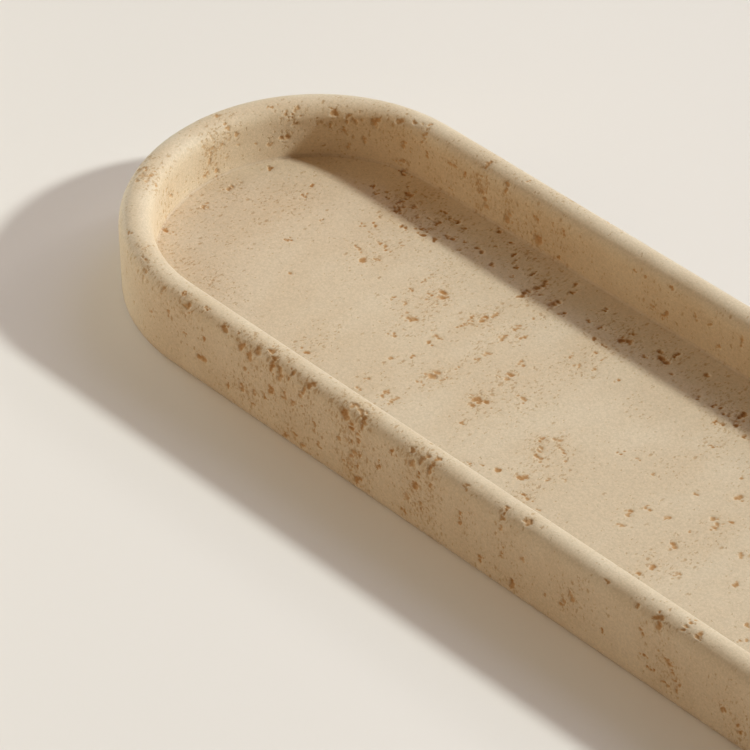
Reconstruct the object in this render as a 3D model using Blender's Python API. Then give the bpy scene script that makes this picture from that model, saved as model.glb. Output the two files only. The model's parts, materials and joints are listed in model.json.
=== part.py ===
"""Pill-shaped stone tray on recessed rubber foot pads.

The tray body is milled from one block of stone. It has upright walls with a full-round rim, a flat-floored
hollow and shallow round pockets in its underside. A self-adhesive rubber pad sits in each pocket and stands
a little proud of the stone, so that the tray grips the table and doesn't scratch it.

Metres, +Z up. The origin is on the surface that the tray stands on, under its centre. +X runs along the tray.
"""

import math

import bmesh
import bpy

# Tray body
TRAY_LENGTH = 0.310
TRAY_WIDTH = 0.104
STONE_HEIGHT = 0.0237
WALL_THICKNESS = 0.009
FLOOR_THICKNESS = 0.0072
BASE_ARRIS = 0.0005
FLOOR_CORNER_RADIUS = 0.0008

# Foot pads and their pockets
PAD_DIAMETER = 0.014
PAD_THICKNESS = 0.0018
PAD_EDGE_RADIUS = 0.0004
PAD_PROUD = 0.0003
PAD_EDGE_DISTANCE = 0.015
PAD_SIDE_CLEARANCE = 0.0003
PAD_ADHESIVE_GAP = 0.0003

# How far a cutter runs past the face that it enters
CUT_OVERRUN = 0.001

# Facets
END_SEGMENTS = 48
RIM_SEGMENTS = 16
CORNER_SEGMENTS = 3
PAD_SEGMENTS = 32
PAD_EDGE_SEGMENTS = 2
SMOOTH_ANGLE = math.radians(40)

# Derived from the sizes above
STRAIGHT_LENGTH = TRAY_LENGTH - TRAY_WIDTH
OUTER_RADIUS = TRAY_WIDTH / 2
RIM_RADIUS = WALL_THICKNESS / 2
UNDERSIDE = PAD_PROUD
TRAY_FLOOR = UNDERSIDE + FLOOR_THICKNESS
RIM_TOP = UNDERSIDE + STONE_HEIGHT
POCKET_DEPTH = PAD_THICKNESS + PAD_ADHESIVE_GAP - PAD_PROUD
PAD_ROW_OFFSET = OUTER_RADIUS - PAD_EDGE_DISTANCE
PAD_COLUMNS = {"left": -STRAIGHT_LENGTH / 2, "middle": 0, "right": STRAIGHT_LENGTH / 2}
PAD_ROWS = {"front": -PAD_ROW_OFFSET, "rear": PAD_ROW_OFFSET}


def clear_scene():
    for item in list(bpy.data.objects):
        bpy.data.objects.remove(item, do_unlink=True)


def principled(name, colour, roughness):
    material = bpy.data.materials.new(name)
    material.use_nodes = True
    shader = material.node_tree.nodes["Principled BSDF"]
    shader.inputs["Base Color"].default_value = (*colour, 1)
    shader.inputs["Roughness"].default_value = roughness
    shader.inputs["Metallic"].default_value = 0
    material.diffuse_color = (*colour, 1)
    return material


def stone_material():
    return principled("honed_beige_stone", (0.63, 0.50, 0.35), 0.62)


def pad_material():
    return principled("grey_rubber", (0.22, 0.20, 0.18), 0.75)


def new_object(name, bm, material=None):
    mesh = bpy.data.meshes.new(name)
    bm.normal_update()
    bm.to_mesh(mesh)
    bm.free()
    if material is not None:
        mesh.materials.append(material)
    mesh.shade_smooth()
    mesh.set_sharp_from_angle(angle=SMOOTH_ANGLE)
    item = bpy.data.objects.new(name, mesh)
    bpy.context.scene.collection.objects.link(item)
    return item


def arc(centre, radius, start, end, segments):
    """Points of an arc in the wall's section, as (distance from the tray's outer face, height)."""
    points = []
    for step in range(segments + 1):
        angle = start + (end - start) * step / segments
        points.append((centre[0] - radius * math.cos(angle), centre[1] + radius * math.sin(angle)))
    return points


def wall_section():
    """The section of base edge, wall, rim and floor corner, from the underside over the rim to the floor."""
    corner = FLOOR_CORNER_RADIUS
    rim_centre = (RIM_RADIUS, RIM_TOP - RIM_RADIUS)
    corner_centre = (WALL_THICKNESS + corner, TRAY_FLOOR + corner)
    section = [(BASE_ARRIS, UNDERSIDE), (0, UNDERSIDE + BASE_ARRIS)]
    section += arc(rim_centre, RIM_RADIUS, 0, math.pi, RIM_SEGMENTS)
    section += arc(corner_centre, corner, 0, -math.pi / 2, CORNER_SEGMENTS)
    return section


def pill_ring(bm, inset, height):
    """Vertices of the tray's outline, drawn in by inset, anticlockwise seen from above."""
    ring = []
    for side in (1, -1):
        for step in range(END_SEGMENTS + 1):
            angle = math.pi * (step / END_SEGMENTS - 1 / 2)
            along = STRAIGHT_LENGTH / 2 + (OUTER_RADIUS - inset) * math.cos(angle)
            across = (OUTER_RADIUS - inset) * math.sin(angle)
            ring.append(bm.verts.new((side * along, side * across, height)))
    return ring


def skin(bm, lower, upper):
    """Faces between two rings of equal count."""
    for i in range(len(lower)):
        j = (i + 1) % len(lower)
        bm.faces.new((lower[i], lower[j], upper[j], upper[i]))


def tray_block(material):
    """The tray's stone with its hollow, lofted through the rings of its wall section."""
    bm = bmesh.new()
    rings = [pill_ring(bm, inset, height) for inset, height in wall_section()]
    for lower, upper in zip(rings, rings[1:]):
        skin(bm, lower, upper)
    bm.faces.new(reversed(rings[0]))
    bm.faces.new(rings[-1])
    return new_object("tray_body", bm, material)


def pad_places():
    """Name and place of each foot pad: a row down each long side, with a pad at both ends and the middle."""
    for row, across in PAD_ROWS.items():
        for column, along in PAD_COLUMNS.items():
            yield f"foot_pad_{row}_{column}", (along, across)


def disc(bm, radius, bottom, top, place=(0, 0)):
    """A closed upright cylinder from height bottom to height top."""
    made = bmesh.ops.create_cone(
        bm,
        cap_ends=True,
        segments=PAD_SEGMENTS,
        radius1=radius,
        radius2=radius,
        depth=top - bottom,
    )
    centre = (*place, (bottom + top) / 2)
    bmesh.ops.translate(bm, verts=made["verts"], vec=centre)


def cut_pad_pockets(tray):
    """Mills a round pocket for each foot pad into the underside."""
    bm = bmesh.new()
    radius = PAD_DIAMETER / 2 + PAD_SIDE_CLEARANCE
    for _, place in pad_places():
        disc(bm, radius, UNDERSIDE - CUT_OVERRUN, UNDERSIDE + POCKET_DEPTH, place)
    cutter = new_object("pad_pocket_cutter", bm)
    cutter.hide_render = True
    cutter.display_type = "WIRE"
    cutter.parent = tray
    pockets = tray.modifiers.new("pad_pockets", "BOOLEAN")
    pockets.operation = "DIFFERENCE"
    pockets.solver = "EXACT"
    pockets.object = cutter


def foot_pads(tray, material):
    """The rubber pads, which share one mesh, each standing in its pocket."""
    bm = bmesh.new()
    disc(bm, PAD_DIAMETER / 2, 0, PAD_THICKNESS)
    first = new_object("foot_pad", bm, material)
    pad_mesh = first.data
    bpy.data.objects.remove(first)
    for name, place in pad_places():
        pad = bpy.data.objects.new(name, pad_mesh)
        bpy.context.scene.collection.objects.link(pad)
        pad.location = (*place, 0)
        pad.parent = tray
        edge = pad.modifiers.new("rounded_edge", "BEVEL")
        edge.width = PAD_EDGE_RADIUS
        edge.segments = PAD_EDGE_SEGMENTS
        edge.limit_method = "ANGLE"
        edge.angle_limit = SMOOTH_ANGLE


def main():
    clear_scene()
    tray = tray_block(stone_material())
    cut_pad_pockets(tray)
    foot_pads(tray, pad_material())


main()
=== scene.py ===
import itertools
import json
import math

import bmesh
import bpy
import numpy as np
from mathutils import Matrix, Vector


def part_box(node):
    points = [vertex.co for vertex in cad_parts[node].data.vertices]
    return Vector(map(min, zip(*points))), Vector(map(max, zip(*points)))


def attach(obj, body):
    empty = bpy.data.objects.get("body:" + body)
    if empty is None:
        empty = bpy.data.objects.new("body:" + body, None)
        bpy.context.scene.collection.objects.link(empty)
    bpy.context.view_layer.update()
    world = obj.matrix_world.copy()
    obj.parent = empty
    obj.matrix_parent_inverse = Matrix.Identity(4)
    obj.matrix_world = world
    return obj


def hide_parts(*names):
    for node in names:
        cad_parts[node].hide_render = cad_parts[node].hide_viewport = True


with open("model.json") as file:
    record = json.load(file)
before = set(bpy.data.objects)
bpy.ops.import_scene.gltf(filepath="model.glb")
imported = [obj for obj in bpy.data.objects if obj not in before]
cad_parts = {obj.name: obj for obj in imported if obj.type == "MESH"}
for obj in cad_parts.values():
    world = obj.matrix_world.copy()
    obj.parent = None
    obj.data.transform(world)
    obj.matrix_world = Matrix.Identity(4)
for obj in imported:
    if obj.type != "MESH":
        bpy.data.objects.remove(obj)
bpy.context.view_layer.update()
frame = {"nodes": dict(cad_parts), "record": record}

MM = 0.001

# Sizes of the tray, from the frame where it gives them
STONE_LOW, STONE_HIGH = (np.array(corner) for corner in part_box("tray_body"))
FLOOR_LEVEL = next(m["pos_m"][2] for m in frame["record"]["mounts"] if m["name"] == "tray_floor")
OUTER_RADIUS = (STONE_HIGH[1] - STONE_LOW[1]) / 2
HALF_STRAIGHT = (STONE_HIGH[0] - STONE_LOW[0]) / 2 - OUTER_RADIUS
UNDERSIDE = STONE_LOW[2]
RIM_TOP = STONE_HIGH[2]
WALL = 9 * MM
RIM_RADIUS = WALL / 2
ARRIS = 0.5 * MM
CORNER_RADIUS = 0.4 * MM
# How far up the wall and across the floor the painted shade where they meet fades out
CREVICE_SHADE_BAND = 0.5 * MM

# The stone's mesh: coarse cells, split where the stone is pitted
CELL = 2.6 * MM
SPLITS = 8
RIM_CELLS = 10

# The foot pads and the pockets that they sit in
PAD_NODES = sorted(name for name in frame["nodes"] if name.startswith("foot_pad"))
PAD_CLEARANCE = 0.3 * MM
PAD_EDGE = 0.4 * MM
PAD_SEGMENTS = 64
PAD_EDGE_STEPS = 4
PAD_RING_SHARE = 0.5
POCKET_DEPTH = 1.8 * MM
CUT_OVERRUN = 1 * MM

# The camera, from a fit of the tray's outline to the photograph
PHOTO_PIXELS = 750
FOCAL_PIXELS = 4097.5
CAMERA_ANGLES = (46.114, 40.37, -0.666)
CAMERA_TARGET = Vector((-62.288, -17.724, 0)) * MM
CAMERA_DISTANCE = 1065.905 * MM
CAMERA_CLIP = (0.05, 50)

# A pit's edge: how far it reaches past its blobs, as a share, how far it is bent, and the noises that bend and
# roughen it, each as its weight, the size of its features and its seed
EDGE_REACH = 1.5
WARP = 0.35 * MM
WARP_NOISES = ((0.7, 0.8 * MM, 11), (0.3, 0.4 * MM, 21))
ROUGH_NOISES = ((0.25, 0.7 * MM, 31), (0.17, 0.33 * MM, 32))
EDGE_ENDS = (-0.1, 0.6)
BOTTOM_LEVEL = 0.85
BOTTOM_NOISE = (0.3, 0.5 * MM, 33)
# How brown a point has to be for the mesh to be split round it
PIT_LEAST = 0.03

# The brown round a pit: how far it spreads, its strength for a square millimetre of pit, and its reach in spreads
STAIN_SPREAD = 2.4 * MM
PIT_STAIN = 0.06
STAIN_REACH = 3

# How brown the pits of each face are, how much deeper those of the floor's shaded strip are, and how much browner
# they are painted there as shade
PIT_STRENGTH = {"floor": 1.04, "near": 0.98, "far": 0.86, "end": 0.72, "under": 0.9}
STRIP_FROM_ACROSS = 22
STRIP_TO_ALONG = 60
STRIP_SHADE_STRENGTH = 1.25
STRIP_DEPTH = 1.6

# The chain of blobs that a pit is made of: its depth in millimetres, with the growth for a millimetre of its short
# side, how brown it is, how far it leans, and how its blobs lie and differ, as shares of its short side
PIT_DEPTH = 0.12
PIT_DEPTH_GROWTH = 0.1
PIT_DEPTH_MOST = 0.36
PIT_TONES = (0.65, 1)
PIT_TILTS = (-0.4, 0.4)
BLOBS_FOR_LENGTH = 1.4
BLOB_INSET = 0.7
BLOB_SCATTER = 0.17
BLOB_RADII = (0.43, 0.6)
BLOB_STRETCHES = (0.8, 1.3)
BLOB_TONES = (0.75, 1)

# The specks round a pit: how many, how many more for a square millimetre of pit, their scatter as a share of the
# pit's sides, and their radii, tones, stretches and depth. Radii and depth are in millimetres
SPECKS = 0.8
SPECKS_FOR_AREA = 0.45
SPECK_SCATTER = 0.5
SPECK_RADII = (0.3, 0.55)
SPECK_TONES = (0.5, 1)
SPECK_STRETCHES = (0.8, 1.4)
SPECK_DEPTH = 0.15

# The pits that the photograph doesn't show: their seed, the shares that lie in beds and stand upright, the middle
# and spread of their short side's logarithm, its limits in millimetres, and their slenderness
UNSEEN_SEED = 5
IN_BED_SHARE = 0.65
UPRIGHT_SHARE = 0.8
UNSEEN_SIZE = (0.2, 0.35)
UNSEEN_LEAST = 0.8
UNSEEN_MOST = 2.4
UNSEEN_SLENDERNESS = (1, 2.4)
# The line across the floor where the photograph ends, and how far pits stay from the wall, the outer edge and
# the middles of the pads, in millimetres
SEEN_TO_ALONG = 58
SEEN_SLANT = 0.95
WALL_KEEP_OUT = 2
EDGE_KEEP_OUT = 3
PAD_KEEP_OUT = 9.5

# Colours
STONE_PALE = (0.620, 0.488, 0.338, 1)
STONE_SAND = (0.590, 0.452, 0.303, 1)
STONE_TAN = (0.53, 0.36, 0.20, 1)
FLECK_BROWN = (0.41, 0.24, 0.105, 1)
PIT_EDGE = (0.50, 0.305, 0.15, 1)
PIT_DEEP = (0.375, 0.182, 0.064, 1)
# Painted shade where wall meets floor, not a colour of the stone
CREVICE_SHADE_COLOUR = (0.32, 0.20, 0.12, 1)
PAD_LIGHT = (0.047, 0.040, 0.033, 1)
PAD_DARK = (0.033, 0.028, 0.023, 1)
GROUND_COLOUR = (0.755, 0.68, 0.607, 1)
# Painted shade: the floor is painted darker towards the left, where the left lamp lights it more
GROUND_LEFT_SHADED_COLOUR = (0.69, 0.627, 0.565, 1)
GROUND_SHADE_WAY = (0.69, 0.72, 0)
GROUND_SHADE_ENDS = (-0.16, 0.03)
BACKDROP_COLOUR = (0.80, 0.74, 0.66, 1)
ROOM_COLOUR = (1, 0.55, 0.21, 1)
ROOM_STRENGTH = 0.13

# The stone's noises, as feature size in millimetres, detail and roughness. A ramp is the two ends of a noise, and
# what they become where that isn't 0 and 1
BED_SHARE = 0.62
BEND_SIZE = 0.7
BEND_REACH = 0.7
BROAD_NOISE = (14, 3)
BROAD_RAMP = (0.35, 0.65)
BLOTCH_NOISE = (1.6, 4, 0.65)
BLOTCH_RAMP = (0.35, 0.65, 0.15, 0.75)
GRAIN_NOISE = (0.6, 4, 0.75)
GRAIN_RAMP = (0.25, 0.75, 0.87, 1.115)
PATCH_NOISE = (6, 3)
PATCH_RAMP = (0.48, 0.72)

# The flecks: how dense they are on plain, patchy and stained stone, their spots as spacing and two radii, and how
# strong and deep they are
FLECK_DENSITY = 0.045
PATCH_DENSITY = 0.27
STAIN_DENSITY = 0.9
LARGE_SHARE = 0.7
LARGE_SPOTS = (1.7, 0.12, 0.36)
SMALL_SPOTS = (0.9, 0.14, 0.42)
SPOT_RAMP = (0, 0.1)
FLECK_NOISE = (0.8, 3, 0.6)
FLECK_LEVEL = 0.66
FLECK_LEVEL_FALL = -0.16
FLECK_RAMP = (0, 0.08)
SMALL_TONE = 0.75
FLECK_TONE = 0.8
ALL_FLECKS_TONE = 0.64
FLECK_BUMP = -0.08
GRAIN_BUMP = 0.06

# The pits' ragged brown edge and the stone's finish
RAGGED_NOISE = (0.45, 2, 0.7)
RAGGED_REACH = 0.6
NEAR_PIT_RAMP = (0, 0.12)
HOLLOW_RAMP = (0.08, 0.6)
DEEP_RAMP = (0.45, 1.0)
# How strongly the painted shade darkens the stone where wall meets floor
CREVICE_SHADE_TONE = 0.35
ROUGHNESS_RAMP = (0, 1, 0.6, 0.85)
SPECULAR_RAMP = (0, 1, 0.3, 0.1)

# The pads' rubber, and the ground's finish
PAD_GRAIN_NOISE = (0.3, 3, 0.6)
PAD_TONE_NOISE = (3, 2)
PAD_TONE_RAMP = (0.3, 0.7)
PAD_ROUGHNESS = 0.75
PAD_BUMP = 0.04
GROUND_FINISH = {"Roughness": 0.6, "Specular IOR Level": 1.0, "Coat Weight": 1.0, "Coat Roughness": 0.5}

# Lights. Each sun has a name, azimuth, elevation, angle across, strength and colour, with angles in degrees
SUNS = (
    ("key", 43.05, 29.7, 4.4, 3.84, (0.88, 0.985, 1)),
    ("end_fill", 180, 12, 34, 1.6, (0.563, 0.863, 1)),
    ("rear_fill", 90, 42, 34, 0.79, (0.64, 0.71, 1)),
    ("second", 78, 27, 6, 0.33, (0.94, 0.97, 1)),
)
LAMP_TARGET = Vector((-0.1, -0.05, 0))
LAMP_OFFSET = Vector((-0.42, -0.437, 0.38))
LAMP_SIZE = 0.5
LAMP_POWER = 1.97
LAMP_COLOUR = (1, 0.855, 0.62)

# Half the ground's side, in metres
GROUND_HALF = 3

# The whole numbers that mix a cell's place and a seed into one number, for the noise that shapes the pits
HASH_PRIMES = (73856093, 19349663, 83492791)
HASH_SEED_PRIME = 2654435761
HASH_STEPS = ((15, 2246822519), (13, 3266489917))
HASH_MASK = 0xFFFFFFFF
HASH_LEVELS = 0xFFFF


def hash_noise(points, size, seed):
    """Smooth value noise from -1 to 1 with features of the given size."""
    place = points / size
    cell = np.floor(place).astype(np.int64)
    part = place - cell
    part = part * part * (3 - 2 * part)
    total = np.zeros(len(points))
    for corner in itertools.product((0, 1), repeat=3):
        key = np.bitwise_xor.reduce((cell + corner) * HASH_PRIMES, axis=1)
        key = (key ^ seed * HASH_SEED_PRIME) & HASH_MASK
        for shift, factor in HASH_STEPS:
            key = ((key ^ key >> shift) * factor) & HASH_MASK
        value = (key >> 8 & HASH_LEVELS) / (HASH_LEVELS / 2) - 1
        total += np.where(corner, part, 1 - part).prod(axis=1) * value
    return total


def section_rows():
    """(inset, height, normal out, normal up, crevice shade) at each lattice row.

    The rows run from the underside's middle over the rim to the floor's middle.
    Crevice shade is 1 where wall and floor meet, where the stone is painted darker as shade.
    """
    rows = []

    def run(start, end, normal, cells, crevice=(0, 0)):
        first, last = (*start, crevice[0]), (*end, crevice[1])
        for step in range(cells * SPLITS):
            share = step / (cells * SPLITS)
            inset, height, corner = (a + (b - a) * share for a, b in zip(first, last))
            rows.append((inset, height, *normal, corner))

    def turn(centre, radius, last, cells, sign, crevice=0):
        for step in range(cells * SPLITS):
            angle = last * step / (cells * SPLITS)
            out, up = math.cos(angle), math.sin(angle)
            rows.append((centre[0] - radius * out, centre[1] + radius * up, sign * out, sign * up, crevice))

    def cells_in(length):
        return max(1, round(length / CELL))

    middle = OUTER_RADIUS
    rim_centre = (RIM_RADIUS, RIM_TOP - RIM_RADIUS)
    corner_centre = (WALL + CORNER_RADIUS, FLOOR_LEVEL + CORNER_RADIUS)
    wall_foot = corner_centre[1] + CREVICE_SHADE_BAND
    floor_edge = corner_centre[0] + CREVICE_SHADE_BAND
    slant = math.sqrt(0.5)
    run((middle, UNDERSIDE), (ARRIS, UNDERSIDE), (0, -1), cells_in(middle))
    run((ARRIS, UNDERSIDE), (0, UNDERSIDE + ARRIS), (slant, -slant), 1)
    run((0, UNDERSIDE + ARRIS), (0, rim_centre[1]), (1, 0), cells_in(rim_centre[1] - UNDERSIDE))
    turn(rim_centre, RIM_RADIUS, math.pi, RIM_CELLS, 1)
    run((WALL, rim_centre[1]), (WALL, wall_foot), (-1, 0), cells_in(rim_centre[1] - wall_foot))
    run((WALL, wall_foot), (WALL, corner_centre[1]), (-1, 0), 1, (0, 1))
    turn(corner_centre, CORNER_RADIUS, -math.pi / 2, 1, -1, 1)
    run((corner_centre[0], FLOOR_LEVEL), (floor_edge, FLOOR_LEVEL), (0, 1), 1, (1, 0))
    run((floor_edge, FLOOR_LEVEL), (middle, FLOOR_LEVEL), (0, 1), cells_in(middle - floor_edge))
    rows.append((middle, FLOOR_LEVEL, 0, 1, 0))
    return np.array(rows)


def outline_columns():
    """(x of the point on the long axis, direction out x, direction out y) at each lattice column.

    The columns run anticlockwise as seen from above.
    """
    straight = round(2 * HALF_STRAIGHT / CELL) * SPLITS
    bend = round(math.pi * OUTER_RADIUS / CELL) * SPLITS
    columns = []
    for side in (-1, 1):
        for step in range(straight):
            columns.append((-side * HALF_STRAIGHT * (2 * step / straight - 1), 0, side))
        for step in range(bend):
            angle = side * math.pi / 2 + math.pi * step / bend
            columns.append((-side * HALF_STRAIGHT, math.cos(angle), math.sin(angle)))
    return np.array(columns), straight, bend


def lattice():
    """Places and outward normals of the lattice points as [column, row, xyz], and each one's painted crevice shade
    share.
    """
    rows = section_rows()
    columns, straight, bend = outline_columns()
    inset, height, out, up, crevice = rows.T
    axis_x, out_x, out_y = columns.T
    reach = OUTER_RADIUS - inset
    shape = (len(columns), len(rows))
    place = np.empty((*shape, 3))
    place[..., 0] = axis_x[:, None] + out_x[:, None] * reach
    place[..., 1] = out_y[:, None] * reach
    place[..., 2] = height
    normal = np.empty((*shape, 3))
    normal[..., 0] = out_x[:, None] * out
    normal[..., 1] = out_y[:, None] * out
    normal[..., 2] = up
    return place, normal, np.broadcast_to(crevice, shape), straight, bend


def shared_index(shape, straight, bend):
    """The vertex number of each lattice point.

    On the long axis the two sides share their vertices, and each round end has one.
    """
    index = np.arange(shape[0] * shape[1]).reshape(shape)
    half = straight + bend
    for row in (0, shape[1] - 1):
        near = index[: straight + 1, row].copy()
        index[straight:half, row] = near[straight]
        index[half : half + straight, row] = near[:0:-1]
        index[half + straight :, row] = near[0]
    return index


def split_cells(marked):
    """Lower corners (column, row) and size of the cells that tile the lattice, small where marked."""
    cells = []
    size = SPLITS
    open_cells = np.ones((marked.shape[0] // size, marked.shape[1] // size), bool)
    while True:
        blocks = marked.reshape(marked.shape[0] // size, size, marked.shape[1] // size, size).any((1, 3))
        done = open_cells & ~blocks if size > 1 else open_cells
        cells.append((np.argwhere(done) * size, size))
        if size == 1:
            return cells
        open_cells = np.repeat(np.repeat(open_cells & blocks, 2, 0), 2, 1)
        size //= 2


def cell_faces(cells, index):
    """Polygons of the cells as (corners, corner counts), with smaller neighbours' corners on their edges."""
    columns = index.shape[0]
    used = np.zeros(index.size, bool)
    for low, size in cells:
        for a in (0, size):
            for b in (0, size):
                used[index[(low[:, 0] + a) % columns, low[:, 1] + b]] = True
    loops, counts = [], []
    for low, size in cells:
        steps = np.arange(size)
        around = np.concatenate([
            np.stack([steps, steps * 0], 1),
            np.stack([steps * 0 + size, steps], 1),
            np.stack([size - steps, steps * 0 + size], 1),
            np.stack([steps * 0, size - steps], 1),
        ])
        corners = index[(low[:, :1] + around[:, 0]) % columns, low[:, 1:] + around[:, 1]]
        keep = used[corners] & (corners != np.roll(corners, 1, 1))
        loops.append(corners[keep])
        counts.append(keep.sum(1))
    return np.concatenate(loops), np.concatenate(counts)


# Pits that show in the photograph, as (along, across, size along, size across) in millimetres.
# On the floor, along is x and across is y.
FLOOR_PITS = (
    (-96.5, 9.4, 3.5, 1), (-92, 7.3, 2, 2), (-89.5, 10, 2, 1.2), (-139, 17, 1.5, 1.5),
    (-140.4, 3, 1.8, 2.2), (-139, -7.5, 1.5, 1.5), (-138.7, -21.6, 2, 1.5), (-112.3, 11.3, 1, 1.5),
    (-112, -1.3, 2, 1), (-101.6, -10.6, 1, 1), (-66.6, 11, 2.5, 4), (-69, 9.4, 1.5, 1), (-74.4, 12, 1, 1.5),
    (-74, 7, 1.5, 1), (-71.3, 2, 1, 1.3), (-65.6, -1.3, 3, 1.6), (-64.4, -8.9, 2, 1.3), (-75, 1.6, 1, 2),
    (-51.1, 15.1, 1.2, 2.5), (-52, 12, 1.6, 3.5), (-54.4, 10.4, 1.2, 3), (-54.4, 6, 1, 2.4),
    (-55.6, -1.6, 2.4, 1.3), (-55, -4.9, 2, 1.2), (-43.3, 15.5, 1, 3), (-43, 10.3, 1.2, 3.2),
    (-39.6, 14, 1.4, 2), (-42, 2.1, 1.4, 1.6), (-41.6, -0.8, 2, 1.2), (-43, -7, 0.8, 2),
    (-45.3, -12.5, 2.6, 4), (-42.3, -12.4, 0.9, 2.6), (-46, -17.7, 1.6, 1.2), (-32.7, 6.6, 2.2, 1.5),
    (-31, 0.3, 2, 2.6), (-33, -1.8, 1.6, 1), (-30, -11.5, 4, 2), (-30, -13.2, 1.4, 3),
    (-25.5, 17, 0.8, 2.4), (-22.3, -3.4, 2, 1.4), (-26.6, -21.2, 1.6, 0.8), (-49, -27, 1.2, 3.2),
    (-45.6, -27.5, 1.2, 4), (-58, -16.3, 1.2, 1.6), (-54.4, -12, 1, 2), (-56.6, -26.3, 1.6, 1),
    (-55, -30.4, 2, 1), (-75, -30, 2, 1.2), (-5.3, -8.7, 2.2, 1.6), (-8.3, -11.4, 1.4, 2.6),
    (-1.4, -11, 3, 0.8), (-5.7, -14.6, 1.5, 2.6), (-4, -17, 3, 1.4), (2, -13.4, 1.2, 1),
    (-1.4, -25.4, 2, 2.8), (-7.9, -27.7, 1.8, 1.4), (3.3, -21.3, 1, 1.4), (6.4, -18.4, 1.2, 1),
    (4, -30, 3.4, 1.2), (9.3, -31, 1.4, 1), (-15, -31, 1.6, 0.9), (-12, -29, 1.2, 0.9), (9.3, -1.6, 1.6, 1),
    (14.3, 0.4, 1.4, 0.8), (20.7, -1.3, 1, 1), (26.1, -16, 1.4, 2.6), (28.6, -11.6, 2, 1.4),
    (34, -10.8, 1.2, 1.6), (28, -20.6, 1.4, 1.2), (33, 1, 1, 1), (41, 7, 2.4, 2.2), (43.1, -3.1, 2.8, 2),
    (44.4, -5.6, 1.4, 1.2), (42.2, -17, 2.2, 1.6), (41.4, -10.6, 1, 0.8), (43.3, -26.3, 2, 2),
    (42.8, -30.6, 1.8, 1.4), (49.6, -24.4, 0.9, 2), (46.4, -0.6, 1, 0.8), (56, -8.4, 1.4, 1.2),
    (37.1, 13.3, 1.2, 1), (62, -17, 1.2, 1.6), (74, -25.6, 1.6, 1.4), (76, -30, 1.4, 2),
    (-111.3, 41.3, 2.4, 1.2), (-113, 31.5, 1, 1), (-110, 29.5, 1, 1), (-108.3, 32, 2, 0.9),
    (-106.5, 30.5, 1.5, 1.2), (-106.3, 38, 0.8, 1), (-99.5, 38.2, 0.8, 0.7), (-104, 35.6, 1.4, 1.2),
    (-102.8, 36, 1.2, 1.4), (-102.7, 33.5, 1.4, 3), (-103.3, 31, 1, 1.4), (-102, 29.5, 1.2, 2),
    (-100.8, 28.5, 1.6, 1.6), (-100.5, 31, 1, 1), (-98.6, 32.6, 1, 1.6), (-99.6, 27.8, 1.4, 1),
    (-91.5, 37, 2, 1), (-88, 35.8, 1.4, 1.2), (-85.4, 36.3, 1.6, 1.6), (-82.5, 36, 1, 0.9),
    (-92.5, 32, 1.2, 1.1), (-89, 32, 1.2, 2.4), (-95, 30.3, 1.2, 0.9), (-90.3, 27.6, 2, 0.9),
    (-88.6, 26, 1.4, 1.4), (-94.5, 24.6, 2.8, 1.6), (-102, 23, 1.4, 0.8), (-100.3, 19.7, 1.3, 1.1),
    (-103, 17.5, 1.2, 1), (-98.5, 16.5, 1.5, 0.7), (-93.5, 15.3, 3, 1.3), (-91, 14.6, 1.6, 1),
    (-89, 18.7, 1, 0.8), (-125, 19.7, 0.9, 1), (-123, 15.5, 1, 1.6), (-83.3, 30, 2.2, 1.2),
    (-81.4, 30.2, 1.3, 1.5), (-84.5, 26.6, 1.3, 1.5), (-78.5, 31.5, 0.9, 0.8), (-77, 28, 1, 0.8),
    (-75, 41.6, 1.5, 1.4), (-73.4, 32, 3, 1.3), (-71.5, 36, 1, 0.8), (-69.5, 40, 1, 0.9),
    (-66.5, 29.5, 1, 1), (-65, 37, 1, 1), (-63, 35, 0.9, 1.4), (-61, 33.5, 1, 1.4), (-59, 30, 1, 0.8),
    (-60, 40, 0.8, 1), (-56, 34.5, 1, 1.6), (-51, 33, 1.5, 5), (-51.8, 27.3, 1.8, 3.6), (-48.5, 30, 1, 1),
    (-45, 39.5, 1, 1.4), (-43, 36.5, 1.2, 1.6), (-43.3, 30, 1.7, 3.6), (-38.8, 28.3, 1.2, 1.5),
    (-42, 24, 1.5, 0.9), (-43, 21.5, 1.5, 0.8), (-32.5, 37.5, 1.1, 1.6), (-32, 31, 1.4, 1),
    (-28, 31, 1, 1.4), (-26, 26.6, 1, 1.2), (-22.4, 26.5, 2.2, 0.9), (-19.6, 32.4, 2, 3.4),
    (-20.6, 35, 1, 1), (-6.5, 37, 1, 2), (-10.5, 35, 1.5, 1.2), (-7.4, 33.5, 2.4, 2.4), (-12, 30.5, 1, 1),
    (-2.5, 30.5, 0.9, 0.8), (4.5, 36.5, 2, 1.5), (9, 28, 0.9, 1.2), (13.7, 29, 1, 1.6),
    (15.6, 29.5, 0.8, 0.9), (18, 28.5, 2, 1.2), (21.5, 31, 1.5, 3), (23, 27, 1.5, 1.5), (20, 25, 1.5, 1),
    (18, 24.5, 1, 1), (27, 25.5, 1.1, 1.5), (24, 17.2, 1.5, 1), (-22, 23, 1, 0.9), (-17.8, 17.5, 1, 1.6),
    (-19, 22, 0.8, 0.9), (-10.5, 19, 1, 1), (-21.5, 16, 1.2, 1),
)
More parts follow.
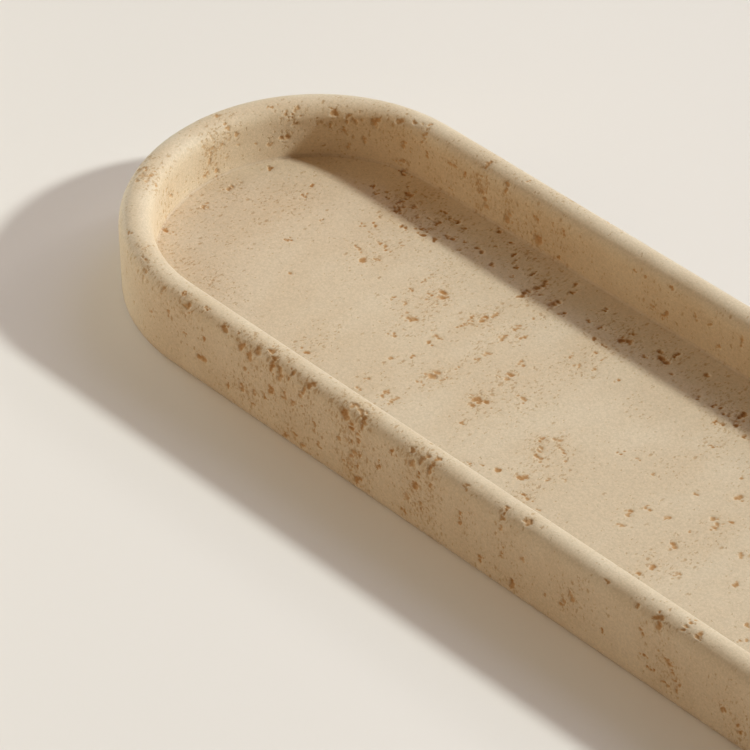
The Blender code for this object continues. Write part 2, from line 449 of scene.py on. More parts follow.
# On the near wall, along is x and across is the way up the outer face and over the rim.
NEAR_PITS = (
    (-91, 8.3, 2.6, 2.4), (-97, 21.9, 3, 2), (-100, 24.4, 1.5, 1), (-90, 15.8, 1.8, 1.6),
    (-97, 13.3, 1.5, 1), (-91.6, 24.7, 1.4, 1), (-83, 23, 2.4, 2), (-81, 5.4, 1.6, 2.6),
    (-76, 21.8, 2, 2.4), (-72.8, 20, 1.8, 3.4), (-74.4, 14.7, 1.6, 1.6), (-76, 7.6, 2.4, 2.6),
    (-71, 23.2, 2, 2), (-67.3, 24.8, 2.4, 1.4), (-65, 21.9, 1.6, 4.6), (-61.6, 21, 1.8, 4.6),
    (-58.4, 22.2, 1.6, 2.8), (-65, 13.3, 2, 3.6), (-60.2, 14.7, 1.4, 2.6), (-56.6, 14, 1.4, 2),
    (-53.3, 19.7, 1.6, 3.6), (-51.6, 22.9, 1.8, 2), (-48.7, 11, 1.1, 3.6), (-71, 9, 1.2, 2.2),
    (-67.3, 9.7, 1.2, 1.6), (-56.6, 4, 2.4, 1.6), (-60, 2, 1.6, 1.8), (-53.7, 2, 1.6, 1.6),
    (-47.7, 5.4, 1, 1.6), (-71.6, 4.7, 1.4, 1.2), (-38.2, 20.9, 3, 3.4), (-37, 24.6, 3, 1.8),
    (-34, 24.8, 2.4, 1.6), (-32.3, 22.4, 2, 4.2), (-35.4, 19.8, 1.6, 2), (-33, 16.8, 1.8, 3.6),
    (-35.6, 14.4, 1.4, 1.8), (-40, 12.6, 1.4, 1.8), (-35, 10.4, 1.8, 2.4), (-32.8, 12, 1.4, 2),
    (-37.6, 7, 1.2, 1.6), (-33, 3.4, 2.2, 3.4), (-35.6, 5.6, 1.2, 1.8), (-33.4, 7.6, 1, 2.6),
    (-26, 12.6, 0.9, 3), (-21, 19.6, 1.4, 1.4), (-15, 22.4, 2.4, 3.2), (-11.6, 23, 1.8, 3.6),
    (-8.6, 22.4, 1.8, 3.8), (-12.7, 14, 2.2, 3.4), (-15.2, 8.3, 2.6, 2.2), (-11.4, 18.6, 1.2, 3),
    (-16.6, 3.4, 2.6, 1.8), (-10.8, 9, 1.4, 2.4), (-7.6, 17.6, 1.2, 2.4), (-8, 25.6, 1.6, 1.4),
    (2.9, 13.3, 1.1, 4.6), (2.9, 23.7, 1.8, 1), (9.6, 4.4, 1.6, 1.8), (16.1, 23.2, 1.1, 3.8),
    (17, 11, 1, 2.6), (16.6, 19, 0.9, 1.8), (22.9, 24.6, 2.2, 2.4), (24, 13.7, 1.6, 2), (21, 3.2, 2.2, 2.6),
    (40, 12.4, 2, 2.6), (38, 8.4, 1.6, 2.4), (32, 7, 1, 1.2), (50.7, 7.9, 1.2, 1.4), (50, 23.2, 1.6, 1),
    (68.1, 21.8, 2, 3.6), (66.4, 22.8, 1.6, 1.2), (60.7, 22.3, 1.2, 1.2), (63.3, 16.4, 1.2, 1.8),
    (74.3, 24.8, 1.4, 3.4), (78.6, 24.7, 1.6, 2), (71.4, 12.6, 2.6, 1.2), (72.8, 10.6, 1.6, 3.2),
    (66.4, 6.2, 2.6, 1.1), (71.4, 4.4, 1.8, 1.6), (75.2, 5.6, 1.3, 3.2), (74, 7.6, 2, 1),
    (64.3, 9, 1.2, 1.2), (89.4, 9, 1.6, 1.6), (95, 6, 1.6, 2.4),
)
# On the far wall, the same way. The inner face starts at about 33.
FAR_PITS = (
    (-83.3, 28.6, 1.4, 2.6), (-84.4, 34.3, 1.2, 4.4), (-81.6, 33.6, 0.9, 4.2), (-82, 39.4, 2.2, 5),
    (-89.4, 35.3, 1.3, 2.6), (-94.4, 34.3, 3, 2), (-95, 43, 1.6, 1), (-74.4, 31.6, 1.6, 4.2),
    (-73.4, 41.4, 2.2, 4), (-70, 26.4, 1, 1.6), (-62.3, 42, 3, 3.2), (-63, 35.3, 2.2, 1.4),
    (-57, 34, 1, 1.8), (-53, 35, 0.9, 2.8), (-54.4, 43.4, 1.2, 1.6), (-27.4, 32.5, 1.2, 1),
    (-24, 32.6, 1.2, 1.2), (-21.6, 41.4, 1.2, 1.6), (-16.5, 40.7, 1.6, 3), (-15, 31.4, 1.4, 1.2),
    (-0.7, 35.3, 1.2, 1.2), (-5.7, 36.4, 1.2, 2), (2.1, 41, 1.4, 1.6), (10, 35, 1.6, 2.6),
)
# Round the left end, along is the angle in degrees from +X, and across is the way up and over, as on the walls.
END_PITS = (
    (93.6, 31.4, 1.2, 3.8), (94, 27.2, 1.2, 1.4), (91.6, 35.7, 1, 2), (102.2, 36.4, 2, 2.6),
    (105, 30, 2.4, 2.2), (104, 42.4, 2.6, 1.6), (99.6, 28.6, 1.4, 1.2), (114, 31.4, 2.4, 2.6),
    (117.7, 38.6, 1.4, 2.6), (121.5, 33, 2, 1.6), (124.5, 32.6, 1.6, 2), (129, 30.4, 2.6, 2.4),
    (126, 36, 1.4, 2), (130.7, 35, 1.2, 1.6), (135.7, 34, 0.9, 2.6), (124.5, 42, 1.4, 1.2),
    (133.4, 41.9, 1.2, 1), (143, 30.2, 2.4, 1.4), (144.6, 31.6, 1.2, 2), (147, 30.7, 1, 2),
    (144, 34.4, 1.8, 1.4), (147.6, 38.3, 3, 2), (152, 28.3, 1.4, 1), (153, 40, 2, 1), (158.6, 38.9, 1, 0.9),
    (165.4, 37.4, 1.6, 1), (165.8, 33.6, 1.4, 1.2), (169, 30, 1.2, 2), (170, 25.8, 1.6, 1.6),
    (176, 31.8, 1.2, 2.8), (177.5, 36.8, 1.4, 4.8), (180, 42.4, 1.2, 2.6), (175, 43, 1.4, 1.6),
    (170.7, 40, 1.2, 1), (172.6, 35.6, 1, 1.8), (206, 26, 1.6, 1.2), (208, 28.2, 1.8, 1),
    (209.6, 25.6, 1.4, 1.8), (211.6, 27.6, 1.8, 1.4), (207, 24.2, 1.4, 1), (212.6, 25, 1.2, 1.2),
    (210.6, 30.4, 1.2, 1), (201, 39, 1.6, 1.6), (203.7, 36, 1.2, 1.2), (204.5, 44.2, 2.2, 1),
    (247.6, 26.8, 1.4, 1.2), (257, 21.6, 1.4, 2.4), (252, 24.4, 1.6, 1), (266.3, 21.9, 1.2, 2.8),
    (269.4, 16.8, 1.2, 1.6), (261, 12, 1.2, 1.4), (244, 15, 1, 1.6), (250, 8, 1, 1.2), (238, 24, 1.4, 1),
)

# Beds of the stone that hold most of the pits, as x and spread, in millimetres
BEDS = (
    (-148, 2), (-139, 2), (-124, 3), (-112, 3), (-97, 4), (-84, 3), (-74, 3), (-62, 5), (-51, 3), (-36, 4),
    (-12, 5), (3, 1.5), (17, 2), (24, 3), (42, 4), (70, 4), (78, 3), (92, 3), (104, 4), (119, 3), (128, 4),
    (141, 3), (149, 2),
)
# What the photograph doesn't show: (face, along from and to, across from and to, number of pits)
UNSEEN = (
    ("floor", 8, 148, -42, 42, 84),
    ("near", -103, 103, 34, 44, 24),
    ("far", -103, 103, 1, 24, 70),
    ("far", 14, 103, 25, 44, 20),
    ("end", -90, 90, 1, 26, 58),
    ("end", -90, 90, 27, 44, 22),
    ("end", 90, 178, 1, 22, 20),
    ("end", 236, 270, 34, 44, 6),
    ("under", -148, 148, -47, 47, 24),
)
# Where the photograph shows crowds of fine specks and a brown tint, with a few guesses where it shows nothing, and
# long rows on the floor that paint shade into the far wall's shadow: the middle along and across as for the pits,
# the spreads along and across in millimetres, and a strength
STAINS_AND_SHADE = {
    "floor": (
        (-101, 33, 5, 7, 0.9), (-86, 32, 6, 6, 0.4), (-51, 30, 2, 7, 0.7), (-43, 30, 2, 4, 0.5),
        (-92, 12, 5, 4, 0.5), (-66, 6, 5, 8, 0.4), (-52, 11, 4, 5, 0.5), (-43, 8, 2, 12, 0.4),
        (-30, -6, 3, 8, 0.5), (-44, -13, 3, 5, 0.5), (-22, 5, 4, 25, 0.4), (-120, -28, 12, 3, 0.7),
        (-140, -15, 3, 14, 0.4), (-125, 10, 4, 8, 0.4), (-77, -25, 4, 5, 0.6), (-72, 18, 5, 8, 0.35),
        (-56, -25, 3, 5, 0.4), (48, -15, 2, 10, 0.5), (42, -22, 2, 8, 0.3), (24, 15, 4, 12, 0.4),
        (-25, 27, 4, 3, 0.5), (18, 28, 4, 4, 0.5), (-5, -14, 4, 6, 0.4), (2, -24, 4, 6, 0.4),
        # The rows at across 34 with spreads of 14 by 6 are painted shade: they tint and speckle the floor's strip
        # in the far wall's shadow darker
        (-124, -4, 9, 20, 0.3), (-15, 34, 14, 6, 0.35), (20, 34, 14, 6, 0.4), (55, 34, 14, 6, 0.4),
        (90, 34, 14, 6, 0.4), (-60, 34, 14, 6, 0.3), (-8, 34, 3, 4, 0.4), (-20, 31, 3, 4, 0.4),
        (95, 0, 4, 30, 0.5), (120, 5, 5, 30, 0.4),
    ),
    "near": (
        (-35, 12, 3.5, 10, 1.3), (-36, 24, 5, 2.5, 0.9), (-10, 10, 4, 9, 1.2), (-12, 22, 5, 3, 0.7),
        (-62, 21, 13, 3, 0.8), (-60, 12, 10, 5, 0.4), (-75, 6, 5, 5, 0.5), (-97, 22, 4, 2.5, 0.7),
        (-75, 24, 12, 1.5, 0.6), (-55, 3, 6, 3, 0.5), (4, 12, 2, 5, 0.4), (18, 20, 3, 5, 0.4),
        (22, 5, 4, 5, 0.4), (40, 12, 4, 5, 0.35), (45, 17, 4, 2, 0.35), (72, 9, 4, 6, 0.55),
        (66, 21, 3, 3, 0.3), (93, 8, 4, 8, 0.4), (-22, 10, 6, 7, 0.2),
    ),
    "far": (
        (-84, 36, 2.5, 6, 1.0), (-73, 38, 2, 6, 0.8), (-63, 40, 3, 4, 1.0), (-95, 34, 4, 3, 0.5),
        (-54, 38, 3, 6, 0.5), (-21, 38, 5, 5, 0.3), (-60, 12, 8, 10, 0.8), (20, 14, 6, 10, 0.7),
    ),
    "end": (
        (104, 33, 3, 5, 0.35), (125, 34, 6, 6, 0.4), (146, 33, 4, 4, 0.45), (177, 36, 3, 7, 0.65),
        (168, 31, 3, 4, 0.35), (208, 26, 5, 3, 0.8), (204, 40, 5, 4, 0.4), (198, 16, 5, 4, 0.6),
        (187, 8, 2, 6, 0.3), (248, 25, 4, 3, 0.5), (264, 20, 6, 6, 0.5), (20, 12, 8, 8, 0.8),
    ),
}


def wall_point(way):
    """(inset, height, normal out, normal up) at a way up the outer face, over the rim and down inside."""
    face = RIM_TOP - RIM_RADIUS - UNDERSIDE
    turn = min(max(way - face, 0) / RIM_RADIUS, math.pi)
    down = max(way - face - math.pi * RIM_RADIUS, 0)
    inset = RIM_RADIUS * (1 - math.cos(turn))
    height = UNDERSIDE + min(way, face) + RIM_RADIUS * math.sin(turn) - down
    return inset, height, math.cos(turn), math.sin(turn)


def on_face(face, along, across):
    """Place of a point on a face of the stone, and the directions in which along and across grow there."""
    if face in ("floor", "under"):
        level = FLOOR_LEVEL if face == "floor" else UNDERSIDE
        return np.array((along * MM, across * MM, level)), np.array((1.0, 0, 0)), np.array((0, 1.0, 0))
    inset, height, out, up = wall_point(across * MM)
    if face == "end":
        angle = math.radians(along)
        outward = np.array((math.cos(angle), math.sin(angle), 0))
        middle = np.array((math.copysign(HALF_STRAIGHT, outward[0]), 0, 0))
    else:
        outward = np.array((0, -1.0 if face == "near" else 1.0, 0))
        middle = np.array((along * MM, 0, 0))
    place = middle + outward * (OUTER_RADIUS - inset) + np.array((0, 0, height))
    return place, np.cross((0, 0, 1), outward), np.array((0, 0, out)) - outward * up


def pad_middles():
    """x and y of each foot pad's middle."""
    boxes = [np.array(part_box(name)) for name in PAD_NODES]
    return np.array([box.mean(0)[:2] for box in boxes])


def takes_pit(face, along, across):
    """Whether the unseen part of a face has stone at this place."""
    if face not in ("floor", "under"):
        return True
    radius = OUTER_RADIUS / MM - (WALL / MM + WALL_KEEP_OUT if face == "floor" else EDGE_KEEP_OUT)
    if math.hypot(max(abs(along) - HALF_STRAIGHT / MM, 0), across) > radius:
        return False
    if face == "floor":
        return along > SEEN_TO_ALONG - SEEN_SLANT * across
    return np.hypot(*(pad_middles() / MM - (along, across)).T).min() > PAD_KEEP_OUT


def unseen_pits(random):
    """Rows of face, along, across, size along and size across for the pits that the photograph doesn't show."""
    beds = np.array(BEDS)
    rows = []
    for face, first, last, low, high, count in UNSEEN:
        for _ in range(count):
            along, across = random.uniform(first, last), random.uniform(low, high)
            bed = beds[random.integers(len(beds))]
            in_bed = random.normal(bed[0], bed[1])
            if face != "end" and random.random() < IN_BED_SHARE and first < in_bed < last:
                along = in_bed
            short = min(max(random.lognormal(*UNSEEN_SIZE), UNSEEN_LEAST), UNSEEN_MOST)
            long = short * random.uniform(*UNSEEN_SLENDERNESS)
            sizes = (short, long) if random.random() < UPRIGHT_SHARE else (long, short)
            if takes_pit(face, along, across):
                rows.append((face, along, across, *sizes))
    return rows


def blobs_of(pit, random):
    """Rows of face, along, across, two radii, depth and strength for the blobs and specks of one ragged pit."""
    face, along, across, wide, tall = pit
    long, short = max(wide, tall), min(wide, tall)
    degrees = math.degrees(MM / (OUTER_RADIUS - RIM_RADIUS)) if face == "end" else 1
    depth = min(PIT_DEPTH + PIT_DEPTH_GROWTH * short, PIT_DEPTH_MOST)
    strength = random.uniform(*PIT_TONES) * PIT_STRENGTH[face]
    # Pits in the floor's shaded strip are cut deeper, and painted browner as painted shade
    if face == "floor" and across > STRIP_FROM_ACROSS and along < STRIP_TO_ALONG:
        depth *= STRIP_DEPTH
        strength *= STRIP_SHADE_STRENGTH
    tilt = random.uniform(*PIT_TILTS)
    chain = max(2, round(BLOBS_FOR_LENGTH * long / short))
    rows = []
    for step in range(chain):
        travel = (step / (chain - 1) - 0.5) * (long - BLOB_INSET * short)
        du, dv = (travel, tilt * travel) if wide > tall else (tilt * travel, travel)
        du, dv = random.normal((du, dv), BLOB_SCATTER * short)
        radius = short * random.uniform(*BLOB_RADII)
        stretch = random.uniform(*BLOB_STRETCHES)
        share = strength * random.uniform(*BLOB_TONES)
        rows.append((face, along + du * degrees, across + dv, radius * stretch, radius / stretch, depth, share))
    for _ in range(random.poisson(SPECKS + SPECKS_FOR_AREA * wide * tall)):
        du, dv = random.normal(0, SPECK_SCATTER, 2) * (wide, tall)
        radius = random.uniform(*SPECK_RADII)
        share = strength * random.uniform(*SPECK_TONES)
        radii = (radius, radius * random.uniform(*SPECK_STRETCHES))
        rows.append((face, along + du * degrees, across + dv, *radii, SPECK_DEPTH, share))
    return rows


def all_pits():
    """Every pit, and its blobs as (place, direction along, direction across, two radii, depth, strength)."""
    tables = (("floor", FLOOR_PITS), ("near", NEAR_PITS), ("far", FAR_PITS), ("end", END_PITS))
    pits = [(face, *pit) for face, table in tables for pit in table]
    pits += unseen_pits(np.random.default_rng(UNSEEN_SEED))
    blobs = []
    for pit in pits:
        random = np.random.default_rng([abs(round(place * 10)) for place in pit[1:3]])
        for face, along, across, wide, tall, depth, strength in blobs_of(pit, random):
            blobs.append((*on_face(face, along, across), wide * MM, tall * MM, depth * MM, strength))
    return pits, blobs


class Nearby:
    """Finds which of many points lie near a place."""

    def __init__(self, points):
        self.order = np.argsort(points[:, 0], kind="stable")
        self.points = points[self.order]

    def within(self, centre, reach):
        first, last = np.searchsorted(self.points[:, 0], (centre[0] - reach, centre[0] + reach))
        offset = self.points[first:last] - centre
        close = (abs(offset[:, 1:]) < reach).all(1)
        return self.order[first:last][close], offset[close]


def smoothstep(value, low, high):
    """0 below low, 1 above high, and a smooth change between."""
    share = np.clip((value - low) / (high - low), 0, 1)
    return share * share * (3 - 2 * share)


def carve(place, blobs):
    """How brown each point is from the pit it lies in, from 0 outside to 1, and the depth of the pit there."""
    flat = place.reshape(-1, 3)
    finder = Nearby(flat)
    touched = np.zeros(len(flat), bool)
    for centre, _, _, wide, tall, _, _ in blobs:
        touched[finder.within(centre, max(wide, tall) * EDGE_REACH + WARP)[0]] = True
    chosen = np.flatnonzero(touched)
    some = flat[chosen]
    warp = np.zeros_like(some)
    for weight, size, seed in WARP_NOISES:
        warp += np.stack([hash_noise(some, size, seed + axis) for axis in range(3)], 1) * weight
    finder = Nearby(some + warp * WARP)
    rough = sum(weight * hash_noise(some, size, seed) for weight, size, seed in ROUGH_NOISES)
    brown = np.zeros(len(chosen))
    sunk = np.zeros(len(chosen))
    for centre, along, across, wide, tall, depth, strength in blobs:
        reach = max(wide, tall)
        at, offset = finder.within(centre, reach * EDGE_REACH)
        apart = (offset @ along / wide) ** 2 + (offset @ across / tall) ** 2
        apart = np.sqrt(apart + (offset @ np.cross(along, across) / reach) ** 2)
        share = smoothstep(1 - apart + rough[at], *EDGE_ENDS)
        brown[at] = np.maximum(brown[at], share * strength)
        sunk[at] = np.maximum(sunk[at], share * depth)
    inside = np.zeros(len(flat))
    depth = np.zeros(len(flat))
    inside[chosen] = brown
    weight, size, seed = BOTTOM_NOISE
    depth[chosen] = sunk * (BOTTOM_LEVEL + weight * hash_noise(some, size, seed))
    return inside.reshape(place.shape[:2]), depth.reshape(place.shape[:2])


def stain_and_shade_shares(points, pits):
    """How much brown stain, with painted shade in the floor's shaded strip, each point has, from 0 to 1."""
    finder = Nearby(points)
    total = np.zeros(len(points))
    for face, along, across, wide, tall in pits:
        centre, _, _ = on_face(face, along, across)
        at, offset = finder.within(centre, STAIN_REACH * STAIN_SPREAD)
        total[at] += PIT_STAIN * wide * tall * np.exp(-(offset**2).sum(1) / (2 * STAIN_SPREAD**2))
    stains = [(face, *row) for face, table in STAINS_AND_SHADE.items() for row in table]
    for face, along, across, wide, tall, strength in stains:
        centre, along_way, across_way = on_face(face, along, across)
        at, offset = finder.within(centre, STAIN_REACH * max(wide, tall) * MM)
        apart = (offset @ along_way / (wide * MM)) ** 2 + (offset @ across_way / (tall * MM)) ** 2
        apart += (offset @ np.cross(along_way, across_way) / (STAIN_SPREAD * 2)) ** 2
        total[at] += strength * np.exp(-apart / 2)
    return 1 - np.exp(-total)


def put_values(mesh, name, values):
    attribute = mesh.attributes.new(name, "FLOAT", "POINT")
    attribute.data.foreach_set("value", np.ascontiguousarray(values, np.float32))


def stone_mesh():
    """The stone with its pits carved in, and its pit, painted crevice shade and stain shares as attributes; the
    stain share also holds painted shade in the floor's shaded strip.
    """
    place, normal, crevice, straight, bend = lattice()
    index = shared_index(place.shape[:2], straight, bend)
    pits, blobs = all_pits()
    inside, depth = carve(place, blobs)
    pitted = inside > PIT_LEAST
    pitted |= np.roll(pitted, -1, 0)
    loops, counts = cell_faces(split_cells(pitted[:, :-1] | pitted[:, 1:]), index)
    used, loops = np.unique(loops, return_inverse=True)
    points = (place - normal * depth[..., None]).reshape(-1, 3)[used]
    mesh = bpy.data.meshes.new("stone_tray")
    mesh.vertices.add(len(points))
    mesh.vertices.foreach_set("co", points.ravel())
    mesh.loops.add(len(loops))
    mesh.loops.foreach_set("vertex_index", loops.astype(np.int32).ravel())
    mesh.polygons.add(len(counts))
    mesh.polygons.foreach_set("loop_start", (np.cumsum(counts) - counts).astype(np.int32))
    mesh.update(calc_edges=True)
    put_values(mesh, "pit", inside.reshape(-1)[used])
    put_values(mesh, "crevice", crevice.reshape(-1)[used])
    put_values(mesh, "stain", stain_and_shade_shares(points, pits))
    mesh.shade_smooth()
    return mesh


def turned(name, profile, segments):
    """A closed mesh turned about Z from (radius, height) points, which start and end on the axis."""
    bm = bmesh.new()
    rings = []
    for radius, height in profile:
        if radius == 0:
            rings.append([bm.verts.new((0, 0, height))] * segments)
            continue
        angles = [math.tau * step / segments for step in range(segments)]
        rings.append([bm.verts.new((radius * math.cos(a), radius * math.sin(a), height)) for a in angles])
    for lower, upper in zip(rings, rings[1:]):
        for step in range(segments):
            after = (step + 1) % segments
            corners = [lower[step], lower[after], upper[after], upper[step]]
            bm.faces.new(list(dict.fromkeys(corners)))
    mesh = bpy.data.meshes.new(name)
    bm.to_mesh(mesh)
    bm.free()
    mesh.shade_smooth()
    return mesh


def cut_pockets(stone):
    """Sinks a round pocket for each foot pad into the stone's underside."""
    low, high = np.array(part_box(PAD_NODES[0]))
    radius = (high[0] - low[0]) / 2 + PAD_CLEARANCE
    profile = [(0, UNDERSIDE - CUT_OVERRUN), (radius, UNDERSIDE - CUT_OVERRUN)]
    profile += [(radius, UNDERSIDE + POCKET_DEPTH), (0, UNDERSIDE + POCKET_DEPTH)]
    bm = bmesh.new()
    for x, y in pad_middles():
        cutter = turned("pocket", profile, PAD_SEGMENTS)
        cutter.transform(Matrix.Translation((x, y, 0)))
        bm.from_mesh(cutter)
    joined = bpy.data.meshes.new("pockets")
    bm.to_mesh(joined)
    bm.free()
    cutters = bpy.data.objects.new("pockets", joined)
    bpy.context.scene.collection.objects.link(cutters)
    modifier = stone.modifiers.new("pockets", "BOOLEAN")
    modifier.object = cutters
    modifier.solver = "MANIFOLD"
    bpy.context.view_layer.update()
    graph = bpy.context.evaluated_depsgraph_get()
    result = bpy.data.meshes.new_from_object(stone.evaluated_get(graph), depsgraph=graph)
    stone.modifiers.clear()
    stone.data = result
    bpy.data.objects.remove(cutters)


def node(tree, kind, inputs=(), **settings):
    """A new shader node. Each input is a constant, or another node's output."""
    made = tree.nodes.new("ShaderNode" + kind)
    for name, value in settings.items():
        setattr(made, name, value)
    for name, value in dict(inputs).items():
        if isinstance(value, bpy.types.NodeSocket):
            tree.links.new(value, made.inputs[name])
        else:
            made.inputs[name].default_value = value
    return made


def maths(tree, operation, first, second):
    return node(tree, "Math", {0: first, 1: second}, operation=operation).outputs[0]


def add_scaled(tree, value, factor, rest):
    """Value times factor, plus rest."""
    return node(tree, "Math", {0: value, 1: factor, 2: rest}, operation="MULTIPLY_ADD").outputs[0]


def ramp(tree, value, low, high, start=0.0, end=1.0):
    """Start below low, end above high, and a smooth change between."""
    limits = {"From Min": low, "From Max": high, "To Min": start, "To Max": end}
    return node(tree, "MapRange", {"Value": value, **limits}, interpolation_type="SMOOTHSTEP").outputs[0]


def noise(tree, place, size, detail=2.0, roughness=0.5):
    """Noise from 0 to 1 with features of about the given size, in the unit of place."""
    settings = {"Vector": place, "Scale": 1 / size, "Detail": detail, "Roughness": roughness}
    return node(tree, "TexNoise", settings).outputs[0]


def mixed(tree, share, first, second, blend="MIX"):
    made = node(tree, "Mix", data_type="RGBA", blend_type=blend)
    for name, value in (("Factor", share), ("A", first), ("B", second)):
        if isinstance(value, bpy.types.NodeSocket):
            tree.links.new(value, made.inputs[name])
        else:
            made.inputs[name].default_value = value
    return made.outputs["Result"]


def scaled_place(tree, scale):
    source = node(tree, "TexCoord").outputs["Object"]
    return node(tree, "VectorMath", {0: source, 1: scale}, operation="MULTIPLY").outputs[0]


def new_material(name):
    material = bpy.data.materials.new(name)
    material.use_nodes = True
    tree = material.node_tree
    return material, tree, tree.nodes["Principled BSDF"]


def attribute(tree, name):
    return node(tree, "Attribute", attribute_name=name).outputs["Fac"]


def spots(tree, place, density, spacing, low, high):
    """Scattered spots, at most one to a cell of the given spacing, in the share of cells that density gives.

    Low and high are the radii, as shares of the spacing, where a spot is whole and where it ends.
    """
    cells = node(tree, "TexVoronoi", {"Vector": place, "Scale": 1 / spacing})
    chance = node(tree, "SeparateColor", {"Color": cells.outputs["Color"]})
    present = ramp(tree, maths(tree, "SUBTRACT", density, chance.outputs[0]), *SPOT_RAMP)
    near = ramp(tree, cells.outputs["Distance"], low, high, 1, 0)
    return maths(tree, "MULTIPLY", present, near)


def stone_material():
    """Honed sand-coloured stone: broad and fine tones along its beds, brown specks, stained pits, and painted
    shade where wall meets floor and in the floor's shaded strip.
    """
    material, tree, shader = new_material("honed_stone")
    pit, stain, crevice = (attribute(tree, name) for name in ("pit", "stain", "crevice"))
    place = scaled_place(tree, (1 / MM,) * 3)
    bedded = scaled_place(tree, (1 / MM, BED_SHARE / MM, BED_SHARE / MM))
    bend = node(tree, "TexNoise", {"Vector": place, "Scale": 1 / BEND_SIZE, "Detail": 1.0}).outputs[1]
    reach = {0: bend, 1: (BEND_REACH,) * 3, 2: bedded}
    bent = node(tree, "VectorMath", reach, operation="MULTIPLY_ADD").outputs[0]

    broad = ramp(tree, noise(tree, bedded, *BROAD_NOISE), *BROAD_RAMP)
    tone = mixed(tree, broad, STONE_PALE, STONE_SAND)
    blotch = noise(tree, bedded, *BLOTCH_NOISE)
    # The stain share also carries painted shade in the floor's shaded strip
    tint = maths(tree, "MULTIPLY", stain, ramp(tree, blotch, *BLOTCH_RAMP))
    tone = mixed(tree, tint, tone, STONE_TAN)
    grain = noise(tree, place, *GRAIN_NOISE)
    tone = mixed(tree, 1.0, tone, ramp(tree, grain, *GRAIN_RAMP), "MULTIPLY")

    patch = ramp(tree, noise(tree, bedded, *PATCH_NOISE), *PATCH_RAMP)
    density = add_scaled(tree, patch, PATCH_DENSITY, add_scaled(tree, stain, STAIN_DENSITY, FLECK_DENSITY))
    large = spots(tree, bent, maths(tree, "MULTIPLY", density, LARGE_SHARE), *LARGE_SPOTS)
    small = spots(tree, bent, density, *SMALL_SPOTS)
    level = add_scaled(tree, density, FLECK_LEVEL_FALL, FLECK_LEVEL)
    fleck = maths(tree, "SUBTRACT", noise(tree, bedded, *FLECK_NOISE), level)
    fleck = ramp(tree, fleck, *FLECK_RAMP)
    flecks = maths(tree, "MAXIMUM", large, maths(tree, "MULTIPLY", small, SMALL_TONE))
    flecks = maths(tree, "MAXIMUM", flecks, maths(tree, "MULTIPLY", fleck, FLECK_TONE))
    tone = mixed(tree, maths(tree, "MULTIPLY", flecks, ALL_FLECKS_TONE), tone, FLECK_BROWN)

    edge = add_scaled(tree, noise(tree, place, *RAGGED_NOISE), 1.0, -0.5)
    inside = ramp(tree, pit, *NEAR_PIT_RAMP)
    ragged = add_scaled(tree, maths(tree, "MULTIPLY", edge, inside), RAGGED_REACH, pit)
    hollow = ramp(tree, ragged, *HOLLOW_RAMP)
    brown = mixed(tree, ramp(tree, ragged, *DEEP_RAMP), PIT_EDGE, PIT_DEEP)
    tone = mixed(tree, hollow, tone, brown)
    # Painted shade: the stone is darkened towards a brown where wall and floor meet
    tone = mixed(tree, maths(tree, "MULTIPLY", crevice, CREVICE_SHADE_TONE), tone, CREVICE_SHADE_COLOUR)
    tree.links.new(tone, shader.inputs["Base Color"])

    height = add_scaled(tree, flecks, FLECK_BUMP, maths(tree, "MULTIPLY", grain, GRAIN_BUMP))
    bump = node(tree, "Bump", {"Strength": 1.0, "Distance": MM, "Height": height})
    tree.links.new(bump.outputs[0], shader.inputs["Normal"])
    dull = maths(tree, "MAXIMUM", flecks, hollow)
    tree.links.new(ramp(tree, dull, *ROUGHNESS_RAMP), shader.inputs["Roughness"])
    tree.links.new(ramp(tree, dull, *SPECULAR_RAMP), shader.inputs["Specular IOR Level"])
    return material


def pad_material():
    """Matt grey-brown rubber with a fine grain."""
    material, tree, shader = new_material("pad_rubber")
    place = scaled_place(tree, (1 / MM,) * 3)
    grain = noise(tree, place, *PAD_GRAIN_NOISE)
    share = ramp(tree, noise(tree, place, *PAD_TONE_NOISE), *PAD_TONE_RAMP)
    tree.links.new(mixed(tree, share, PAD_LIGHT, PAD_DARK), shader.inputs["Base Color"])
    shader.inputs["Roughness"].default_value = PAD_ROUGHNESS
    height = maths(tree, "MULTIPLY", grain, PAD_BUMP)
    bump = node(tree, "Bump", {"Strength": 1.0, "Distance": MM, "Height": height})
    tree.links.new(bump.outputs[0], shader.inputs["Normal"])
    return material


def add_piece(name, mesh, material, cad_node):
    piece = bpy.data.objects.new(name, mesh)
    bpy.context.scene.collection.objects.link(piece)
    mesh.materials.append(material)
    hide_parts(cad_node)
    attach(piece, "root")
    return piece


def add_stone():
    stone = add_piece("stone_tray", stone_mesh(), stone_material(), "tray_body")
    cut_pockets(stone)


def add_pads():
    material = pad_material()
    for name in PAD_NODES:
        low, high = np.array(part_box(name))
        centre, radius = (low + high) / 2, (high[0] - low[0]) / 2
        flat = radius - PAD_EDGE
        bend = [math.pi / 2 * step / PAD_EDGE_STEPS for step in range(PAD_EDGE_STEPS + 1)]
        profile = [(0, low[2]), (flat * PAD_RING_SHARE, low[2])]
        profile += [(flat + PAD_EDGE * math.sin(a), low[2] + PAD_EDGE * (1 - math.cos(a))) for a in bend]
        profile += [(flat + PAD_EDGE * math.cos(a), high[2] - PAD_EDGE * (1 - math.sin(a))) for a in bend]
        profile += [(0, high[2])]
        mesh = turned(name + "_rubber", profile, PAD_SEGMENTS)
        mesh.transform(Matrix.Translation((centre[0], centre[1], 0)))
        add_piece(name + "_rubber", mesh, material, name)


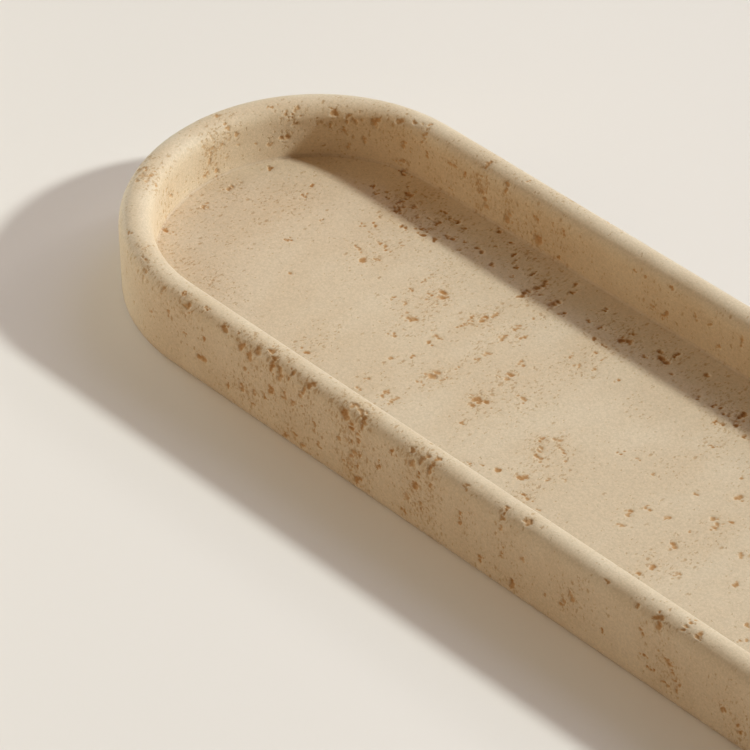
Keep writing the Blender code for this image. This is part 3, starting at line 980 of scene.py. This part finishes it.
def add_camera():
    azimuth, elevation, roll = map(math.radians, CAMERA_ANGLES)
    level = math.cos(elevation)
    back = Vector((math.sin(azimuth) * level, -math.cos(azimuth) * level, math.sin(elevation)))
    right = Vector((math.cos(azimuth), math.sin(azimuth), 0))
    up = back.cross(right)
    turned_right = right * math.cos(roll) + up * math.sin(roll)
    turned_up = up * math.cos(roll) - right * math.sin(roll)
    data = bpy.data.cameras.new("camera")
    data.sensor_fit = "HORIZONTAL"
    data.lens = FOCAL_PIXELS / PHOTO_PIXELS * data.sensor_width
    data.clip_start, data.clip_end = CAMERA_CLIP
    camera = bpy.data.objects.new("camera", data)
    place = CAMERA_TARGET + back * CAMERA_DISTANCE
    camera.matrix_world = Matrix((
        (turned_right.x, turned_up.x, back.x, place.x),
        (turned_right.y, turned_up.y, back.y, place.y),
        (turned_right.z, turned_up.z, back.z, place.z),
        (0, 0, 0, 1),
    ))
    bpy.context.scene.collection.objects.link(camera)
    bpy.context.scene.camera = camera


def towards(azimuth, elevation):
    a, e = math.radians(azimuth), math.radians(elevation)
    return Vector((math.cos(a) * math.cos(e), math.sin(a) * math.cos(e), math.sin(e)))


def add_light(name, kind, colour, energy, facing, place=(0, 0, 0)):
    data = bpy.data.lights.new(name, kind)
    data.color = colour
    data.energy = energy
    light = bpy.data.objects.new(name, data)
    light.location = place
    light.rotation_mode = "QUATERNION"
    light.rotation_quaternion = facing.to_track_quat("Z", "Y")
    bpy.context.scene.collection.objects.link(light)
    return data


def add_suns():
    for name, azimuth, elevation, angle, strength, colour in SUNS:
        sun = add_light(name, "SUN", colour, strength, towards(azimuth, elevation))
        sun.angle = math.radians(angle)


def add_left_lamp():
    place = LAMP_TARGET + LAMP_OFFSET
    lamp = add_light("left_lamp", "AREA", LAMP_COLOUR, LAMP_POWER, LAMP_OFFSET, place)
    lamp.shape = "DISK"
    lamp.size = LAMP_SIZE


def add_world():
    """A dim warm room for the light, and the floor's pale colour for the camera and reflections."""
    world = bpy.data.worlds.new("studio")
    bpy.context.scene.world = world
    world.use_nodes = True
    tree = world.node_tree
    room = tree.nodes["Background"]
    room.inputs["Color"].default_value = ROOM_COLOUR
    room.inputs["Strength"].default_value = ROOM_STRENGTH
    pale = node(tree, "Background", {"Color": BACKDROP_COLOUR, "Strength": 1.0})
    path = node(tree, "LightPath")
    seen = maths(tree, "MAXIMUM", path.outputs["Is Camera Ray"], path.outputs["Is Glossy Ray"])
    seen = maths(tree, "MAXIMUM", seen, path.outputs["Is Transmission Ray"])
    mix = node(tree, "MixShader", {0: seen, 1: room.outputs[0], 2: pale.outputs[0]})
    tree.links.new(mix.outputs[0], tree.nodes["World Output"].inputs[0])


def add_ground():
    corners = [(x * GROUND_HALF, y * GROUND_HALF, 0) for x, y in ((-1, -1), (1, -1), (1, 1), (-1, 1))]
    mesh = bpy.data.meshes.new("ground")
    mesh.from_pydata(corners, [], [(0, 1, 2, 3)])
    ground = bpy.data.objects.new("ground", mesh)
    bpy.context.scene.collection.objects.link(ground)
    material, tree, shader = new_material("pale_floor")
    place = scaled_place(tree, (1,) * 3)
    # Painted shade: the floor's colour darkens towards the left, where the left lamp lights it more
    across = node(tree, "VectorMath", {0: place, 1: GROUND_SHADE_WAY}, operation="DOT_PRODUCT")
    left_shade = ramp(tree, across.outputs["Value"], *GROUND_SHADE_ENDS)
    tree.links.new(mixed(tree, left_shade, GROUND_LEFT_SHADED_COLOUR, GROUND_COLOUR), shader.inputs["Base Color"])
    for name, value in GROUND_FINISH.items():
        shader.inputs[name].default_value = value
    mesh.materials.append(material)


add_camera()
add_stone()
add_pads()
add_ground()
add_world()
add_suns()
add_left_lamp()
bpy.context.scene.view_settings.view_transform = "Standard"
